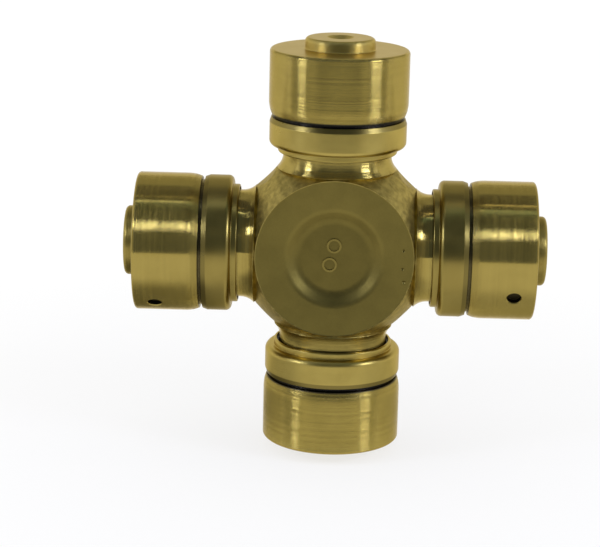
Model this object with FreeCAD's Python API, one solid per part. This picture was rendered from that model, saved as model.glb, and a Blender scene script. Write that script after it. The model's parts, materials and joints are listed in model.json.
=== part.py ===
import FreeCAD, Part
import math
import os

# Universal joint cross with four needle-bearing cups. All lengths are in millimetres.
# Origin: where the two trunnion axes cross. +Z runs up along the upright trunnions,
# +X along the level ones and Y through the thickness of the body.
# Along a trunnion, a "station" is the distance from the origin.

V = FreeCAD.Vector

# Forged body of the cross
SHOULDER_SPAN = 66.0
SHOULDER_RISE = 2.3
CROTCH_HOLLOW = 1.0
FACE_RISE = 2.1
FACE_SET_BACK = 0.7
FACE_LIP = 0.4
CROWN_BULGE = 1.0
CROWN_MARGIN = 0.1
RECESS_DIAMETER = 39.6
RECESS_WALL_RUN = 4.6
RECESS_RIM_DROP = 0.9
RECESS_DEPTH = 4.0
RECESS_RIM_ROUND = 5.0
RECESS_FLOOR_ROUND = 6.0

# Plain forging rings in the front recess and punch dots on the front face
MARK_RING_DIAMETER = 6.0
MARK_RING_WIDTH = 0.8
MARK_RING_RISE = 0.5
MARK_RING_PLACES = [(-0.2, 4.7), (-1.9, -3.2)]
PUNCH_DIAMETER = 2.0
PUNCH_DEPTH = 0.9
PUNCH_PLACES = [(27.8, 4.3), (27.6, -3.3), (28.3, -8.7)]

# Trunnions, necks and drillings of the cross
TRUNNION_DIAMETER = 39.9
TRUNNION_CHAMFER = 1.0
NECK_RISE = 2.25
NECK_FILLET = 8.0
NECK_STEP_LENGTH = 1.4
NECK_STEP_SET_BACK = 0.9
RESERVOIR_DIAMETER = 14.0
RESERVOIR_DEPTH = 9.0
GALLERY_DIAMETER = 7.0

# Needles and the raceways they run between
NEEDLE_DIAMETER = 4.0
NEEDLE_LENGTH = 25.4
NEEDLE_END_PLAY = 0.2
NEEDLE_SIDE_GAP = 0.05
RACEWAY_PLAY = 0.05

# Drawn sheet can: its collar round the neck, its floor and its grip on the cup's spigot
COLLAR_SHOULDER_GAP = 6.7
COLLAR_LENGTH = 2.6
COLLAR_NECK_GAP = 1.2
COLLAR_WALL = 1.0
COLLAR_ROUND = 0.6
CAN_SHEET = 1.05
CAN_GRIP = 6.5
CAN_TAPER_LENGTH = 2.0
CAN_TAPER_DROP = 0.7
CAN_SHOULDER_ROUND = 1.2
CAN_CORNER_ROUND = 0.3
CAN_EDGE_ROUND = 0.2

# Rubber seal in the can
SEAL_HEIGHT = 3.15
SEAL_NECK_GAP = 0.3
SEAL_WALL_GAP = 0.05
DUST_LIP_SET_BACK = 1.05
SEAL_LIP_ROUND = 0.2
SEAL_WAIST_ROUND = 0.4

# Plastic needle retainer on the cup's mouth
RETAINER_FLANGE = 1.0
RETAINER_SLEEVE = 1.7
RETAINER_RIM = 2.0
RETAINER_NECK_GAP = 0.4
RETAINER_BORE_GAP = 0.05

# Thrust washer between the trunnion end and the cup floor
WASHER_THICKNESS = 1.9
WASHER_PLAY = 0.1
WASHER_EDGE_GAP = 0.4
WASHER_HOLE = 10.0

# Bearing cups
CUP_WALL = 4.45
CUP_FLOOR = 5.0
CUP_RIM_ROUND = 1.35
CUP_TAPER_LENGTH = 3.0
CUP_TAPER_DROP = 1.2
CUP_LAND_ROUND = 0.8
CUP_GROOVE_ROUND = 0.25
SPIGOT_DROP = 1.5
CAN_GROOVE_WIDTH = 1.3
CAN_GROOVE_DEPTH = 1.1
CUP_MOUTH_CHAMFER = 0.4

# Boss on the end of each cup
BOSS_DIAMETER = 28.6
BOSS_HEIGHT = 4.7
BOSS_EDGE_ROUND = 1.7
BOSS_FOOT_ROUND = 0.6
DISH_DIAMETER = 11.2
DISH_FLOOR_DIAMETER = 4.0
DISH_DEPTH = 2.0
DISH_LIP_ROUND = 1.2
DISH_FLOOR_ROUND = 0.5

# Blind dowel hole in the side of each cup, and where each cup is turned to
DOWEL_DIAMETER = 5.5
DOWEL_DEPTH = 2.5
DOWEL_FROM_END = 9.0
DOWEL_TURN = {"top": 62.0, "bottom": 118.0, "left": -140.0, "right": -60.1}

# Radii that follow, from the trunnion outwards
TRUNNION_RADIUS = TRUNNION_DIAMETER / 2.0
NECK_RADIUS = TRUNNION_RADIUS + NECK_RISE
SHOULDER_RADIUS = NECK_RADIUS + SHOULDER_RISE
NEEDLE_RADIUS = NEEDLE_DIAMETER / 2.0
PITCH_RADIUS = TRUNNION_RADIUS + RACEWAY_PLAY + NEEDLE_RADIUS
RACEWAY_RADIUS = PITCH_RADIUS + NEEDLE_RADIUS + RACEWAY_PLAY
CUP_RADIUS = RACEWAY_RADIUS + CUP_WALL
SPIGOT_RADIUS = CUP_RADIUS - SPIGOT_DROP
GROOVE_RADIUS = SPIGOT_RADIUS - CAN_GROOVE_DEPTH
CAN_RADIUS = SPIGOT_RADIUS + CAN_SHEET
COLLAR_BORE_RADIUS = NECK_RADIUS + COLLAR_NECK_GAP
COLLAR_RADIUS = COLLAR_BORE_RADIUS + COLLAR_WALL

# Stations that follow, from the body outwards
SHOULDER_STATION = SHOULDER_SPAN / 2.0
NECK_DROP = math.sqrt(NECK_FILLET ** 2 - (NECK_FILLET - SHOULDER_RISE) ** 2)
NECK_STATION = SHOULDER_STATION + NECK_DROP
COLLAR_STATION = SHOULDER_STATION + COLLAR_SHOULDER_GAP
CAN_FLOOR_STATION = COLLAR_STATION + COLLAR_LENGTH
SEAL_STATION = CAN_FLOOR_STATION + CAN_SHEET
FLANGE_STATION = SEAL_STATION + SEAL_HEIGHT
CUP_MOUTH = FLANGE_STATION + RETAINER_FLANGE
CAN_END = CUP_MOUTH + CAN_GRIP
SPIGOT_END = CAN_END + CAN_GROOVE_WIDTH
CUP_LAND_START = SPIGOT_END + CUP_TAPER_LENGTH
RIM_STATION = CUP_MOUTH + RETAINER_SLEEVE
RIM_END = RIM_STATION + RETAINER_RIM
NEEDLE_START = RIM_END + NEEDLE_END_PLAY
NEEDLE_END = NEEDLE_START + NEEDLE_LENGTH
CUP_FLOOR_STATION = NEEDLE_END + NEEDLE_END_PLAY
CUP_END = CUP_FLOOR_STATION + CUP_FLOOR
TRUNNION_END = CUP_FLOOR_STATION - WASHER_THICKNESS - WASHER_PLAY
NECK_STEP_STATION = CUP_MOUTH - NECK_STEP_SET_BACK

# Heights and radii of the body's round faces, about Y
FACE_HEIGHT = NECK_RADIUS + FACE_RISE
FACE_RADIUS = SHOULDER_STATION - FACE_SET_BACK
RECESS_RADIUS = RECESS_DIAMETER / 2.0
RECESS_FLOOR_HEIGHT = FACE_HEIGHT - RECESS_DEPTH
CROWN_RADIUS = math.hypot(SHOULDER_STATION, SHOULDER_RADIUS) + CROWN_MARGIN


def rounded_wire(corners):
    """Closed wire in the XZ plane through (x, z, round) corners, each with its own tangent arc."""
    count = len(corners)
    runs = []
    for index in range(count):
        x, z, radius = corners[index]
        here = V(x, 0, z)
        before = V(corners[index - 1][0], 0, corners[index - 1][1])
        after = V(corners[(index + 1) % count][0], 0, corners[(index + 1) % count][1])
        to_before = (before - here).normalize()
        to_after = (after - here).normalize()
        half_angle = to_before.getAngle(to_after) / 2.0
        if radius == 0 or math.pi - 2.0 * half_angle < 1e-6:
            runs.append((here, None, here))
            continue
        reach = radius / math.tan(half_angle)
        centre = here + (to_before + to_after).normalize() * (radius / math.sin(half_angle))
        middle = centre + (here - centre).normalize() * radius
        runs.append((here + to_before * reach, middle, here + to_after * reach))
    edges = []
    for index in range(count):
        start, middle, end = runs[index]
        if middle is not None:
            edges.append(Part.Arc(start, middle, end).toShape())
        following = runs[(index + 1) % count][0]
        if end.distanceToPoint(following) > 1e-6:
            edges.append(Part.LineSegment(end, following).toShape())
    return Part.Wire(edges)


def turned(corners):
    """Solid of revolution about +Z from (radius, station, round) corners."""
    face = Part.Face(rounded_wire(corners))
    return face.revolve(V(0, 0, 0), V(0, 0, 1), 360)


def drum(radius, low, high):
    """Plain cylinder about +Z between two stations."""
    return Part.makeCylinder(radius, high - low, V(0, 0, low), V(0, 0, 1))


def on_arm(shape, arm):
    """Copy of a shape built about +Z, turned about Y onto the named arm."""
    turn = {"top": 0.0, "bottom": 180.0, "left": -90.0, "right": 90.0}[arm]
    placed = shape.copy()
    placed.rotate(V(0, 0, 0), V(0, 1, 0), turn)
    return placed


def bearing_cup(arm):
    """Cup with its end boss, raceway, spigot and dowel hole."""
    boss_end = CUP_END + BOSS_HEIGHT
    boss_radius = BOSS_DIAMETER / 2.0
    cup = turned([
        (0, boss_end - DISH_DEPTH, 0),
        (DISH_FLOOR_DIAMETER / 2.0, boss_end - DISH_DEPTH, DISH_FLOOR_ROUND),
        (DISH_DIAMETER / 2.0, boss_end, DISH_LIP_ROUND),
        (boss_radius, boss_end, BOSS_EDGE_ROUND),
        (boss_radius, CUP_END, BOSS_FOOT_ROUND),
        (CUP_RADIUS, CUP_END, CUP_RIM_ROUND),
        (CUP_RADIUS, CUP_LAND_START, CUP_LAND_ROUND),
        (CUP_RADIUS - CUP_TAPER_DROP, SPIGOT_END, CUP_GROOVE_ROUND),
        (GROOVE_RADIUS, SPIGOT_END, 0),
        (GROOVE_RADIUS, CAN_END, 0),
        (SPIGOT_RADIUS, CAN_END, 0),
        (SPIGOT_RADIUS, CUP_MOUTH, 0),
        (RACEWAY_RADIUS + CUP_MOUTH_CHAMFER, CUP_MOUTH, 0),
        (RACEWAY_RADIUS, CUP_MOUTH + CUP_MOUTH_CHAMFER, 0),
        (RACEWAY_RADIUS, CUP_FLOOR_STATION, 0),
        (0, CUP_FLOOR_STATION, 0),
    ])
    turn = math.radians(DOWEL_TURN[arm])
    outward = V(math.cos(turn), math.sin(turn), 0)
    hole_floor = outward * (CUP_RADIUS - DOWEL_DEPTH) + V(0, 0, CUP_END - DOWEL_FROM_END)
    hole = Part.makeCylinder(DOWEL_DIAMETER / 2.0, 2.0 * DOWEL_DEPTH, hole_floor, outward)
    return on_arm(cup.cut(hole), arm)


def needle_rollers(arm):
    """Full set of needles between the trunnion and the cup."""
    pitch_angle = 2.0 * math.asin((NEEDLE_RADIUS + NEEDLE_SIDE_GAP / 2.0) / PITCH_RADIUS)
    count = int(2.0 * math.pi / pitch_angle)
    needle = drum(NEEDLE_RADIUS, NEEDLE_START, NEEDLE_END)
    needles = []
    for index in range(count):
        roller = needle.copy()
        roller.translate(V(PITCH_RADIUS, 0, 0))
        roller.rotate(V(0, 0, 0), V(0, 0, 1), 360.0 * index / count)
        needles.append(roller)
    return on_arm(Part.makeCompound(needles), arm)


def thrust_washer(arm):
    """Plastic disc on the cup floor, with a hole that passes the grease."""
    low = CUP_FLOOR_STATION - WASHER_THICKNESS
    disc = drum(TRUNNION_RADIUS - WASHER_EDGE_GAP, low, CUP_FLOOR_STATION)
    return on_arm(disc.cut(drum(WASHER_HOLE / 2.0, low, CUP_FLOOR_STATION)), arm)


def needle_retainer(arm):
    """Stepped plastic ring in the cup's mouth: a rim under the needles and a flange on the mouth."""
    rim_bore = TRUNNION_RADIUS + RETAINER_NECK_GAP
    flange_bore = NECK_RADIUS + RETAINER_NECK_GAP
    sleeve_radius = RACEWAY_RADIUS - RETAINER_BORE_GAP
    flange_radius = SPIGOT_RADIUS - RETAINER_BORE_GAP
    ring = turned([
        (rim_bore, RIM_STATION, 0),
        (rim_bore, RIM_END, 0),
        (sleeve_radius, RIM_END, 0),
        (sleeve_radius, CUP_MOUTH, 0),
        (flange_radius, CUP_MOUTH, 0),
        (flange_radius, FLANGE_STATION, 0),
        (flange_bore, FLANGE_STATION, 0),
        (flange_bore, RIM_STATION, 0),
    ])
    return on_arm(ring, arm)


def seal(arm):
    """Rubber ring in the can, with an inner lip by the neck and a dust lip inside the collar."""
    outer = SPIGOT_RADIUS - SEAL_WALL_GAP
    lip_radius = NECK_RADIUS + SEAL_NECK_GAP
    waist_radius = COLLAR_BORE_RADIUS + COLLAR_WALL / 2.0
    dust_radius = COLLAR_BORE_RADIUS - SEAL_WALL_GAP
    dust_end = COLLAR_STATION + DUST_LIP_SET_BACK
    waist = SEAL_STATION + SEAL_HEIGHT / 2.0
    lip_end = FLANGE_STATION - SEAL_HEIGHT / 6.0
    ring = turned([
        (outer, FLANGE_STATION, 0),
        (outer, SEAL_STATION, 0),
        (dust_radius, SEAL_STATION, 0),
        (dust_radius, dust_end, 0),
        (lip_radius, dust_end, SEAL_LIP_ROUND),
        (lip_radius, SEAL_STATION, 0),
        (waist_radius, waist, SEAL_WAIST_ROUND),
        (lip_radius, lip_end, SEAL_LIP_ROUND),
        (waist_radius, FLANGE_STATION, 0),
    ])
    return on_arm(ring, arm)


def seal_can(arm):
    """Drawn sheet ring: pressed on the spigot, closed by a floor with a collar round the neck."""
    can = turned([
        (SPIGOT_RADIUS, CAN_END, 0),
        (CAN_RADIUS - CAN_TAPER_DROP, CAN_END, CAN_EDGE_ROUND),
        (CAN_RADIUS, CAN_END - CAN_TAPER_LENGTH, CAN_CORNER_ROUND),
        (CAN_RADIUS, CAN_FLOOR_STATION, CAN_SHOULDER_ROUND),
        (COLLAR_RADIUS, CAN_FLOOR_STATION, CAN_CORNER_ROUND),
        (COLLAR_RADIUS, COLLAR_STATION, COLLAR_ROUND),
        (COLLAR_BORE_RADIUS, COLLAR_STATION, 0),
        (COLLAR_BORE_RADIUS, SEAL_STATION, 0),
        (SPIGOT_RADIUS, SEAL_STATION, 0),
    ])
    return on_arm(can, arm)


def trunnion():
    """One turned arm of the cross, from inside the body to the trunnion's end."""
    fillet_centre = V(NECK_RADIUS + NECK_FILLET, 0, NECK_STATION)
    half_turn = math.atan2(NECK_DROP, NECK_FILLET - SHOULDER_RISE) / 2.0
    neck_start = V(NECK_RADIUS, 0, NECK_STATION)
    fillet_middle = fillet_centre + V(-math.cos(half_turn), 0, -math.sin(half_turn)) * NECK_FILLET
    fillet_end = V(SHOULDER_RADIUS, 0, SHOULDER_STATION)
    corners = [
        fillet_end,
        V(0, 0, fillet_end.z - SHOULDER_RADIUS),
        V(0, 0, TRUNNION_END),
        V(TRUNNION_RADIUS - TRUNNION_CHAMFER, 0, TRUNNION_END),
        V(TRUNNION_RADIUS, 0, TRUNNION_END - TRUNNION_CHAMFER),
        V(TRUNNION_RADIUS, 0, NECK_STEP_STATION + NECK_STEP_LENGTH),
        V(NECK_RADIUS, 0, NECK_STEP_STATION),
        neck_start,
    ]
    edges = [Part.LineSegment(a, b).toShape() for a, b in zip(corners, corners[1:])]
    edges.append(Part.Arc(neck_start, fillet_middle, fillet_end).toShape())
    return Part.Face(Part.Wire(edges)).revolve(V(0, 0, 0), V(0, 0, 1), 360)


def body_block():
    """Square block between the trunnion shoulders, with a shallow hollow between each two arms."""
    near = SHOULDER_RADIUS
    far = SHOULDER_STATION
    crotch = (near + far) / 2.0 - CROTCH_HOLLOW / math.sqrt(2.0)
    edges = []
    for quarter in range(4):
        turn = FreeCAD.Rotation(V(0, 1, 0), 90.0 * quarter)
        places = [V(-near, 0, far), V(near, 0, far), V(crotch, 0, crotch), V(far, 0, near)]
        side = [turn.multVec(place) for place in places]
        edges.append(Part.LineSegment(side[0], side[1]).toShape())
        edges.append(Part.Arc(side[1], side[2], side[3]).toShape())
    block = Part.Face(Part.Wire(edges)).extrude(V(0, 2.0 * FACE_HEIGHT, 0))
    block.translate(V(0, -FACE_HEIGHT, 0))
    return block


def half_core():
    """Round pad about +Z above the middle plane, with its flat face and dished recess."""
    face = rounded_wire([
        (0, RECESS_FLOOR_HEIGHT, 0),
        (RECESS_RADIUS - RECESS_WALL_RUN, RECESS_FLOOR_HEIGHT, RECESS_FLOOR_ROUND),
        (RECESS_RADIUS, FACE_HEIGHT - RECESS_RIM_DROP, RECESS_RIM_ROUND),
        (FACE_RADIUS, FACE_HEIGHT, 0),
        (FACE_RADIUS, 0, 0),
        (0, 0, 0),
    ])
    return Part.Face(face).revolve(V(0, 0, 0), V(0, 0, 1), 360)


def half_shoulder():
    """Forged slope about +Z that falls from just below the pad's edge to the middle plane."""
    top = V(FACE_RADIUS, 0, FACE_HEIGHT - FACE_LIP)
    foot = V(CROWN_RADIUS, 0, 0)
    inside = V(FACE_RADIUS, 0, 0)
    slope = foot - top
    middle = (top + foot) * 0.5 + V(-slope.z, 0, slope.x).normalize() * CROWN_BULGE
    shoulder = Part.Wire([
        Part.Arc(top, middle, foot).toShape(),
        Part.LineSegment(foot, inside).toShape(),
        Part.LineSegment(inside, top).toShape(),
    ])
    return Part.Face(shoulder).revolve(V(0, 0, 0), V(0, 0, 1), 360)


def both_halves(half):
    """A half shape about +Z, laid once to the front and once to the back."""
    front = half.copy()
    front.rotate(V(0, 0, 0), V(1, 0, 0), 90)
    back = half.copy()
    back.rotate(V(0, 0, 0), V(1, 0, 0), -90)
    return front.fuse(back)


def raised_rings():
    """Two plain rings that stand up from the front recess."""
    rings = []
    for x, z in MARK_RING_PLACES:
        base = V(x, -RECESS_FLOOR_HEIGHT - MARK_RING_RISE, z)
        outer_radius = MARK_RING_DIAMETER / 2.0
        outer = Part.makeCylinder(outer_radius, 2.0 * MARK_RING_RISE, base, V(0, 1, 0))
        inner_radius = outer_radius - MARK_RING_WIDTH
        rings.append(outer.cut(Part.makeCylinder(inner_radius, 2.0 * MARK_RING_RISE, base, V(0, 1, 0))))
    return rings


def punch_dots():
    """Small conical punch marks in the front face."""
    dots = []
    for x, z in PUNCH_PLACES:
        mouth = V(x, -FACE_HEIGHT, z)
        dots.append(Part.makeCone(PUNCH_DIAMETER / 2.0, 0, PUNCH_DEPTH, mouth, V(0, 1, 0)))
    return dots


def cross():
    """Forged body with four trunnions, crossing grease galleries and end reservoirs."""
    pads = both_halves(half_core())
    shape = body_block().common(pads.fuse(both_halves(half_shoulder())))
    shape = shape.fuse(pads)
    for arm in DOWEL_TURN:
        shape = shape.fuse(on_arm(trunnion(), arm))
    gallery = drum(GALLERY_DIAMETER / 2.0, -TRUNNION_END, TRUNNION_END)
    for arm in ("top", "right"):
        shape = shape.cut(on_arm(gallery, arm))
    reservoir = drum(RESERVOIR_DIAMETER / 2.0, TRUNNION_END - RESERVOIR_DEPTH, TRUNNION_END)
    for arm in DOWEL_TURN:
        shape = shape.cut(on_arm(reservoir, arm))
    for ring in raised_rings():
        shape = shape.fuse(ring)
    for dot in punch_dots():
        shape = shape.cut(dot)
    return shape.removeSplitter()


PIECES = {
    "bearing_cup": bearing_cup,
    "needle_rollers": needle_rollers,
    "thrust_washer": thrust_washer,
    "needle_retainer": needle_retainer,
    "seal": seal,
    "seal_can": seal_can,
}


def main():
    """Write one STEP file for the cross and for each piece on each arm."""
    os.makedirs("parts", exist_ok=True)
    cross().exportStep("parts/cross.step")
    for piece, build in PIECES.items():
        for arm in DOWEL_TURN:
            build(arm).exportStep("parts/" + piece + "_" + arm + ".step")


main()
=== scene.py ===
"""Universal joint cross with four needle-bearing cups, finished and lit for a plain studio picture."""

import json
import logging
import math
from dataclasses import dataclass
from enum import Enum
from typing import Any, Iterable, Sequence

import bmesh
import bpy
from mathutils import Matrix, Vector

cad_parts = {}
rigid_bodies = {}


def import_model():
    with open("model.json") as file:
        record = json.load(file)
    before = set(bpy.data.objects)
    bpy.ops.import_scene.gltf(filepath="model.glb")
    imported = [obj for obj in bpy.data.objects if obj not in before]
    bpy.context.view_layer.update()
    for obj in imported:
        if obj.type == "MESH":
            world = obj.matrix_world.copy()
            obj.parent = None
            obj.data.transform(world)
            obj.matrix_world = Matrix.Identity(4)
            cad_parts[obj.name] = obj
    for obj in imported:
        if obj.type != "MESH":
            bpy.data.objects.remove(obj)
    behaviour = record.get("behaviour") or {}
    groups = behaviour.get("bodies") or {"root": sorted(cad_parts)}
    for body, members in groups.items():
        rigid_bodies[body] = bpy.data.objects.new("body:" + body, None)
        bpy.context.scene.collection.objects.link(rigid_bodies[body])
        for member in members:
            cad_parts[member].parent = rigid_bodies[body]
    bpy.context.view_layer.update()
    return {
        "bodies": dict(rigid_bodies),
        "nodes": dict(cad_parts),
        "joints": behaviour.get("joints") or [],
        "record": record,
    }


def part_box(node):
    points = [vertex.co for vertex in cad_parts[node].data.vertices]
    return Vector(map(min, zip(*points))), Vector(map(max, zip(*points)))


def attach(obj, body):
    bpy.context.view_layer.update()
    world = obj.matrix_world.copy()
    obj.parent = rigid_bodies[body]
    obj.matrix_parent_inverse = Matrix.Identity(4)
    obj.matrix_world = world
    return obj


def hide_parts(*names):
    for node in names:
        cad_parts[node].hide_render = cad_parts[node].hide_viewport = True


LOG = logging.getLogger("joint_cross")
MM = 0.001
Colour = tuple[float, float, float]
Corner = tuple[float, float, float]
Fades = tuple[float, float, float, float]
Settings = dict[str, Any]
Sockets = dict[Any, Any]


class Arm(Enum):
    """The four arms of the cross, each with its turn about Y from straight up, in degrees."""

    TOP = ("top", 0.0)
    BOTTOM = ("bottom", 180.0)
    LEFT = ("left", -90.0)
    RIGHT = ("right", 90.0)

    @property
    def label(self) -> str:
        """Name used in the nodes and bodies."""
        return self.value[0]

    @property
    def turn(self) -> Matrix:
        """Matrix that lays a piece built about +Z along this arm."""
        return Matrix.Rotation(math.radians(self.value[1]), 4, "Y")

    @property
    def level(self) -> bool:
        """True for the two arms that lie along X."""
        return self in (Arm.LEFT, Arm.RIGHT)


class Value:
    """A shader socket that takes part in Python expressions, each operator adding its Math node."""

    def __init__(self, tree: "ShaderTree", socket: bpy.types.NodeSocket) -> None:
        """Wrap a socket.

        Args:
            tree: Tree that the socket belongs to.
            socket: Output socket to wrap.
        """
        self.tree = tree
        self.socket = socket

    def _maths(self, operation: str, *terms: Any) -> "Value":
        """Math node of these terms."""
        node = self.tree.node("ShaderNodeMath", {"operation": operation}, dict(enumerate(terms)))
        return Value(self.tree, node.outputs[0])

    def __add__(self, other: Any) -> "Value":
        """Sum."""
        return self._maths("ADD", self, other)

    def __radd__(self, other: Any) -> "Value":
        """Sum with a number on the left."""
        return self._maths("ADD", other, self)

    def __sub__(self, other: Any) -> "Value":
        """Difference."""
        return self._maths("SUBTRACT", self, other)

    def __rsub__(self, other: Any) -> "Value":
        """Difference from a number on the left."""
        return self._maths("SUBTRACT", other, self)

    def __mul__(self, other: Any) -> "Value":
        """Product."""
        return self._maths("MULTIPLY", self, other)

    def __rmul__(self, other: Any) -> "Value":
        """Product with a number on the left."""
        return self._maths("MULTIPLY", other, self)

    def __abs__(self) -> "Value":
        """Absolute value."""
        return self._maths("ABSOLUTE", self)

    def larger(self, other: Any) -> "Value":
        """Larger of the two."""
        return self._maths("MAXIMUM", self, other)

    def smaller(self, other: Any) -> "Value":
        """Smaller of the two."""
        return self._maths("MINIMUM", self, other)

    def ramp(self, low: float, high: float, start: float = 0.0, end: float = 1.0) -> "Value":
        """Smooth step.

        Args:
            low: Value at which the result leaves start.
            high: Value at which the result reaches end.
            start: Result at and below low.
            end: Result at and above high.

        Returns:
            The stepped value.
        """
        values = {"Value": self, "From Min": low, "From Max": high, "To Min": start, "To Max": end}
        node = self.tree.node("ShaderNodeMapRange", {"interpolation_type": "SMOOTHSTEP"}, values)
        return Value(self.tree, node.outputs["Result"])


@dataclass(frozen=True)
class LineFinish:
    """Fine lines turned or ground round an axis, which scatter reflections along that axis."""

    spread: float = 0.75
    pitch: float = 0.006 * MM

    def normal(self, tree: "ShaderTree", along: Value, axis: Any) -> Any:
        """Normal that leans to and fro along the axis from line to line.

        Args:
            tree: Tree to build in.
            along: Place along the axis.
            axis: Unit vector of the axis, or its socket.

        Returns:
            Socket with the leaning unit normal.
        """
        line = tree.node("ShaderNodeMath", {"operation": "FLOOR"}, {0: along * (1.0 / self.pitch)})
        dice = tree.node("ShaderNodeTexWhiteNoise", {"noise_dimensions": "1D"}, {"W": line.outputs[0]})
        swing = Value(tree, dice.outputs["Value"]) * 2.0 - 1.0
        lean = swing * abs(swing) * self.spread
        push = tree.node("ShaderNodeVectorMath", {"operation": "SCALE"}, {0: axis, "Scale": lean})
        straight = tree.node("ShaderNodeNewGeometry").outputs["Normal"]
        leaning = tree.node("ShaderNodeVectorMath", {}, {0: straight, 1: push.outputs[0]})
        unit = tree.node("ShaderNodeVectorMath", {"operation": "NORMALIZE"}, {0: leaning.outputs[0]})
        return unit.outputs[0]


class ShaderTree:
    """Node tree of one material or of the world, emptied and ready to be built."""

    def __init__(self, owner: Any) -> None:
        """Take over an owner's node tree.

        Args:
            owner: Material or world whose nodes are built.
        """
        owner.use_nodes = True
        self.tree = owner.node_tree
        self.tree.nodes.clear()

    def node(self, kind: str, settings: Settings | None = None, sockets: Sockets | None = None) -> Any:
        """Add a node.

        Args:
            kind: Type name of the node.
            settings: Properties of the node, set first.
            sockets: Values, or sockets to link, by the input's name or number.

        Returns:
            The new node.
        """
        node = self.tree.nodes.new(kind)
        for name, setting in (settings or {}).items():
            setattr(node, name, setting)
        for name, value in (sockets or {}).items():
            socket = node.inputs[name]
            if isinstance(value, Value):
                value = value.socket
            if isinstance(value, bpy.types.NodeSocket):
                self.tree.links.new(value, socket)
            else:
                socket.default_value = value
        return node

    def place(self) -> tuple[Any, Value, Value, Value]:
        """Object coordinates, as the vector and its three parts.

        Returns:
            The vector socket, then X, Y and Z.
        """
        vector = self.node("ShaderNodeTexCoord").outputs["Object"]
        parts = self.node("ShaderNodeSeparateXYZ", {}, {"Vector": vector})
        return vector, *(Value(self, parts.outputs[axis]) for axis in "XYZ")

    def length(self, across: Value, up: Value) -> Value:
        """Length of a vector from two of its parts."""
        root = self.node("ShaderNodeMath", {"operation": "SQRT"}, {0: across * across + up * up})
        return Value(self, root.outputs[0])

    def noise(
        self, vector: Any, scale: float, detail: float = 3.0, stretch: Sequence[float] = (1, 1, 1)
    ) -> Value:
        """Noise between 0 and 1.

        Args:
            vector: Socket with the coordinates.
            scale: Number of features in a metre.
            detail: Number of finer layers.
            stretch: Scale along each axis.

        Returns:
            The noise value.
        """
        scaled = self.node("ShaderNodeMapping", {}, {"Vector": vector, "Scale": tuple(stretch)})
        sockets = {"Vector": scaled.outputs[0], "Scale": scale, "Detail": detail}
        return Value(self, self.node("ShaderNodeTexNoise", {}, sockets).outputs["Fac"])

    def blend(self, factor: Any, low: Any, high: Any) -> Any:
        """Colour mix.

        Args:
            factor: Share of the second colour.
            low: First colour, or its socket.
            high: Second colour, or its socket.

        Returns:
            Socket with the mixed colour.
        """
        low, high = ((*c, 1.0) if isinstance(c, tuple) else c for c in (low, high))
        node = self.node("ShaderNodeMix", {"data_type": "RGBA"}, {0: factor, 6: low, 7: high})
        return node.outputs[2]

    def surface(self, sockets: dict[str, Any]) -> None:
        """Finish the tree with a Principled surface."""
        shader = self.node("ShaderNodeBsdfPrincipled", {}, sockets)
        self.node("ShaderNodeOutputMaterial", {}, {"Surface": shader.outputs[0]})


@dataclass(frozen=True)
class Steel:
    """Olive-gold steel, shared by the finishes that are cut, drawn or ground from it."""

    colour: Colour = (0.38, 0.29, 0.078)
    shade: Colour = (0.34, 0.258, 0.068)
    rim_tint: Colour = (0.85, 0.76, 0.55)


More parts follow.
